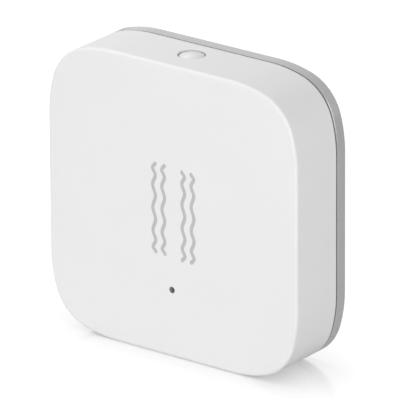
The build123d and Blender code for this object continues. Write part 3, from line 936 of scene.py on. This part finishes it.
def cut_screws_and_cell():
    heads = []
    for screw in islands(nodes["board_screws"]):
        heads.append(Vector((screw.middle.x, screw.high.y, screw.middle.z)))
    crosses = cross_cutters("screw_cross", screw_steel, heads, cross_reach, cross_width, cross_depth)
    cut_into("board_screws", crosses)
    back = Vector((cell.middle.x, cell.high.y, cell.middle.z))
    plus = cross_cutters("cell_plus", cell_steel, [back], plus_reach, plus_width, plus_depth)
    cut_into("cell_can", plus + [groove_cutter(back)])


add_wave_marks()
add_board_tracks()
add_pads_and_vias()
add_part_ends()
cut_screws_and_cell()


def direction(azimuth, elevation):
    """Which way a place lies that is turned to the right of the front face and raised above it."""
    turn, rise = radians(azimuth), radians(elevation)
    return Vector((sin(turn) * cos(rise), -cos(turn) * cos(rise), sin(rise)))


def add_floor():
    """A pale floor that the camera sees as white, with a shade that is partly real and partly painted, and
    a faint reflection at the object.
    """
    finish = Finish("pale_floor")
    camera_sees = finish.node("ShaderNodeLightPath")["Is Camera Ray"]

    def near(reach):
        """1 where the object is close, 0 from the given reach on."""
        return 1.0 - finish.node("ShaderNodeAmbientOcclusion", {"samples": 16}, Distance=reach)["AO"]

    # Painted shade: the floor's glow darkens near the object and where it touches it
    shade_near = near(floor_shade_reach) * floor_shade
    shade_at_contact = near(floor_contact_reach) * floor_contact_shade
    glow_after_painted_shade = 1.0 - shade_near - shade_at_contact
    lit = finish.node("ShaderNodeBsdfDiffuse", Color=floor_seen_colour)["BSDF"]
    glow = finish.node("ShaderNodeEmission", Color=glow_after_painted_shade, Strength=floor_glow)["Emission"]
    white = finish.node("ShaderNodeAddShader", s0=lit, s1=glow)["Shader"]
    gloss = finish.node(
        "ShaderNodeBsdfAnisotropic", Color=grey(1), Roughness=floor_gloss_roughness
    )["BSDF"]
    mirrored = near(floor_gloss_reach) * floor_gloss
    seen = finish.node("ShaderNodeMixShader", s0=mirrored, s1=white, s2=gloss)["Shader"]
    plain = finish.node("ShaderNodeBsdfDiffuse", Color=floor_colour)["BSDF"]
    both = finish.node("ShaderNodeMixShader", s0=camera_sees, s1=plain, s2=seen)["Shader"]
    finish.node("ShaderNodeOutputMaterial", Surface=both)
    signs = ((-1, -1), (1, -1), (1, 1), (-1, 1))
    corners = [(across * floor_reach, along * floor_reach, 0) for across, along in signs]
    mesh = bpy.data.meshes.new("floor")
    mesh.from_pydata(corners, [], [(0, 1, 2, 3)])
    mesh.materials.append(finish.material)
    new_object("floor", mesh)


def add_sky():
    """Even light from all round, full white to the camera and in reflections."""
    world = bpy.data.worlds.new("studio")
    world.use_nodes = True
    sky = Nodes(world.node_tree)
    sky.tree.nodes.clear()
    path = sky.node("ShaderNodeLightPath")
    direct = sky.math("MAXIMUM", path["Is Camera Ray"], path["Is Glossy Ray"])
    lit = sky.node("ShaderNodeBackground", Color=grey(1), Strength=sky_strength)["Background"]
    seen = sky.node("ShaderNodeBackground", Color=grey(1), Strength=1.0)["Background"]
    both = sky.node("ShaderNodeMixShader", s0=direct, s1=lit, s2=seen)["Shader"]
    sky.node("ShaderNodeOutputWorld", Surface=both)
    bpy.context.scene.world = world


def add_lamp(name, lamp):
    """A square soft lamp that faces the object's middle, as bright there from any distance."""
    light = bpy.data.lights.new(name, "AREA")
    light.size = lamp.distance * lamp_spread
    light.energy = lamp.strength * lamp.distance ** 2
    away = direction(lamp.azimuth, lamp.elevation)
    stand = new_object(name, light)
    stand.location = Vector((0, 0, middle_z)) + away * lamp.distance
    stand.rotation_euler = away.to_track_quat("Z", "Y").to_euler()


def add_camera():
    """The photograph's view, worked out for a body centred between its two moulded shells."""
    middle = boxed(housing.low, cover.high).middle
    turn, roll = radians(aim_azimuth), radians(camera_roll)
    back = direction(aim_azimuth, aim_elevation)
    level = Vector((cos(turn), sin(turn), 0))
    upright = back.cross(level)
    right = level * cos(roll) + upright * sin(roll)
    up = upright * cos(roll) - level * sin(roll)
    data = bpy.data.cameras.new("camera")
    data.sensor_width = sensor_width
    data.lens = lens_pixels / image_pixels * sensor_width
    camera = new_object("camera", data)
    camera.matrix_world = Matrix((right, up, back)).transposed().to_4x4()
    camera.location = middle + camera_distance * direction(camera_azimuth, camera_elevation)
    bpy.context.scene.camera = camera


add_floor()
add_sky()
for name, lamp in lamps.items():
    add_lamp(name, lamp)
add_camera()
bpy.context.scene.view_settings.view_transform = "Standard"
